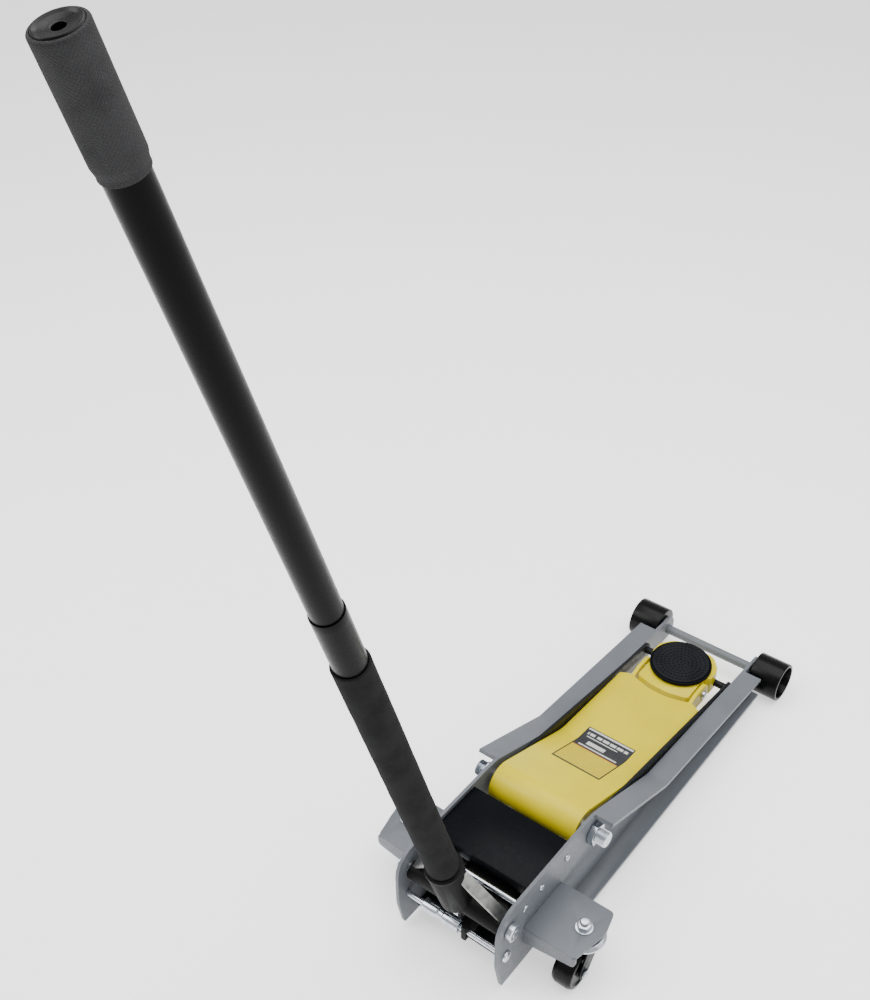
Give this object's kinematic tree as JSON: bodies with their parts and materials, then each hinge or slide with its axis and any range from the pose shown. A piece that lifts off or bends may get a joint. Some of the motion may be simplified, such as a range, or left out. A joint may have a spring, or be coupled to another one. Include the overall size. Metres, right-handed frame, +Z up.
{
  "type": "trolley jack",
  "caption": "Low-profile hydraulic trolley jack with a two-piece lever handle, a lifting arm and a levelled round saddle.",
  "frame": {"origin": "bottom centre of the whole jack's box, on the floor", "axes": "+X towards the lifting end, +Y to the jack's left, +Z up; the handle stands in its raised rest position"},
  "size_m": [1.1566, 0.364, 1.3671],
  "materials": {
    "grey_paint": "satin grey enamel",
    "yellow_paint": "gloss yellow enamel",
    "black_paint": "gloss black enamel",
    "cast_black": "black painted casting",
    "socket_grey": "black painted casting",
    "zinc": "bright zinc plate",
    "chrome": "hard chrome, polished",
    "bare_steel": "turned steel",
    "nylon": "moulded, gloss",
    "rubber": "moulded, matt",
    "foam": "closed-cell foam, matt"
  },
  "bodies": {
    "chassis": {"arm_pivot_shaft": "zinc", "axle_clip_left": "zinc", "axle_clip_right": "zinc", "caster_bracket_left": "grey_paint", "caster_bracket_right": "grey_paint", "cover_plate": "black_paint", "cover_screw_left_1": "zinc", "cover_screw_left_2": "zinc", "cover_screw_right_1": "zinc", "cover_screw_right_2": "zinc", "cylinder_gland": "cast_black", "cylinder_tube": "bare_steel", "filler_plug": "zinc", "front_axle": "grey_paint", "handle_pivot_bolt_left": "zinc", "handle_pivot_bolt_right": "zinc", "pivot_nut_left": "zinc", "pivot_nut_right": "zinc", "pump_block": "cast_black", "pump_spring": "zinc", "radius_rod_bolt_left": "zinc", "radius_rod_bolt_right": "zinc", "rear_cross_rod": "zinc", "rear_tie_rod": "zinc", "reservoir_shell": "black_paint", "side_plate_left": "grey_paint", "side_plate_right": "grey_paint", "unit_base_plate": "black_paint"},
    "caster_swivel_left": {"caster_fork_left": "black_paint", "caster_axle_left": "zinc", "caster_nut_left": "zinc"},
    "caster_roll_left": {"caster_wheel_left": "nylon"},
    "front_roll_left": {"front_wheel_left": "nylon"},
    "rod_left": {"radius_rod_left": "black_paint"},
    "caster_swivel_right": {"caster_fork_right": "black_paint", "caster_axle_right": "zinc", "caster_nut_right": "zinc"},
    "caster_roll_right": {"caster_wheel_right": "nylon"},
    "front_roll_right": {"front_wheel_right": "nylon"},
    "rod_right": {"radius_rod_right": "black_paint"},
    "arm": {"lift_arm": "yellow_paint", "yoke_pin": "zinc"},
    "yoke": {"saddle_yoke": "yellow_paint", "link_pin": "zinc"},
    "saddle": {"saddle_cup": "black_paint", "saddle_pad": "rubber"},
    "ram": {"ram": "chrome", "ram_crosshead": "cast_black", "crosshead_pin": "zinc"},
    "socket": {"handle_socket": "socket_grey"},
    "roller": {"pump_roller": "zinc"},
    "handle": {"lower_handle_tube": "black_paint", "upper_handle_tube": "black_paint", "foam_sleeve": "foam", "hand_grip": "foam", "handle_end_cap": "nylon"},
    "button": {"snap_button": "zinc"},
    "plunger": {"pump_plunger": "chrome"},
    "release": {"release_sleeve": "zinc"}
  },
  "joints": [
    {"name": "arm_lift", "type": "hinge", "parent": "chassis", "child": "arm", "pos_m": [0.02891, 0, 0.118], "axis": [0, -1, 0], "range_deg": [0, 56]},
    {"name": "saddle_level", "type": "hinge", "parent": "arm", "child": "yoke", "pos_m": [0.41691, 0, 0.058], "axis": [0, -1, 0], "range_deg": [-56, 0]},
    {"name": "saddle_turn", "type": "hinge", "parent": "yoke", "child": "saddle", "pos_m": [0.43891, 0, 0.076], "axis": [0, 0, 1], "continuous": true},
    {"name": "radius_rod_left_swing", "type": "hinge", "parent": "chassis", "child": "rod_left", "pos_m": [0.07291, 0.077, 0.11], "axis": [0, -1, 0], "range_deg": [0, 56]},
    {"name": "radius_rod_right_swing", "type": "hinge", "parent": "chassis", "child": "rod_right", "pos_m": [0.07291, -0.077, 0.11], "axis": [0, -1, 0], "range_deg": [0, 56]},
    {"name": "ram_stroke", "type": "slide", "parent": "chassis", "child": "ram", "axis": [1, 0, 0], "range_m": [0, 0.0523]},
    {"name": "handle_pump", "type": "hinge", "parent": "chassis", "child": "socket", "pos_m": [-0.17069, 0, 0.115], "axis": [0, -1, 0], "range_deg": [-12, 50]},
    {"name": "handle_twist", "type": "hinge", "parent": "socket", "child": "handle", "pos_m": [-0.17069, 0, 0.115], "axis": [-0.2974, 0, 0.9548], "range_deg": [0, 180]},
    {"name": "release_turn", "type": "hinge", "parent": "chassis", "child": "release", "pos_m": [-0.17909, 0, 0.069], "axis": [0, 1, 0], "range_deg": [0, 45]},
    {"name": "roller_turn", "type": "hinge", "parent": "socket", "child": "roller", "pos_m": [-0.17622, 0, 0.09893], "axis": [0, 1, 0], "continuous": true},
    {"name": "plunger_stroke", "type": "slide", "parent": "chassis", "child": "plunger", "axis": [1, 0, 0], "range_m": [-0.0035, 0.0142], "deforming": ["pump_spring"]},
    {"name": "button_press", "type": "slide", "parent": "handle", "child": "button", "axis": [0, 1, 0], "range_m": [-0.004, 0], "stiffness_N_per_m": 400},
    {"name": "front_wheel_left_roll", "type": "hinge", "parent": "chassis", "child": "front_roll_left", "pos_m": [0.54591, 0.115, 0.033], "axis": [0, 1, 0], "continuous": true},
    {"name": "caster_left_swivel", "type": "hinge", "parent": "chassis", "child": "caster_swivel_left", "pos_m": [-0.08909, 0.151, 0.08], "axis": [0, 0, 1], "continuous": true},
    {"name": "caster_left_roll", "type": "hinge", "parent": "caster_swivel_left", "child": "caster_roll_left", "pos_m": [-0.06409, 0.151, 0.03], "axis": [0, 1, 0], "continuous": true},
    {"name": "front_wheel_right_roll", "type": "hinge", "parent": "chassis", "child": "front_roll_right", "pos_m": [0.54591, -0.115, 0.033], "axis": [0, 1, 0], "continuous": true},
    {"name": "caster_right_swivel", "type": "hinge", "parent": "chassis", "child": "caster_swivel_right", "pos_m": [-0.08909, -0.151, 0.08], "axis": [0, 0, 1], "continuous": true},
    {"name": "caster_right_roll", "type": "hinge", "parent": "caster_swivel_right", "child": "caster_roll_right", "pos_m": [-0.11409, -0.151, 0.03], "axis": [0, 1, 0], "continuous": true}
  ],
  "couplings": [
    {"joint": "saddle_level", "follows": "arm_lift", "ratio": -1},
    {"joint": "radius_rod_left_swing", "follows": "arm_lift", "ratio": 1},
    {"joint": "radius_rod_right_swing", "follows": "arm_lift", "ratio": 1},
    {"joint": "ram_stroke", "follows": "arm_lift", "m_per_rad": 0.0534},
    {"joint": "plunger_stroke", "follows": "handle_pump", "m_per_rad": 0.0162},
    {"joint": "release_turn", "follows": "handle_twist", "ratio": 0.25}
  ]
}
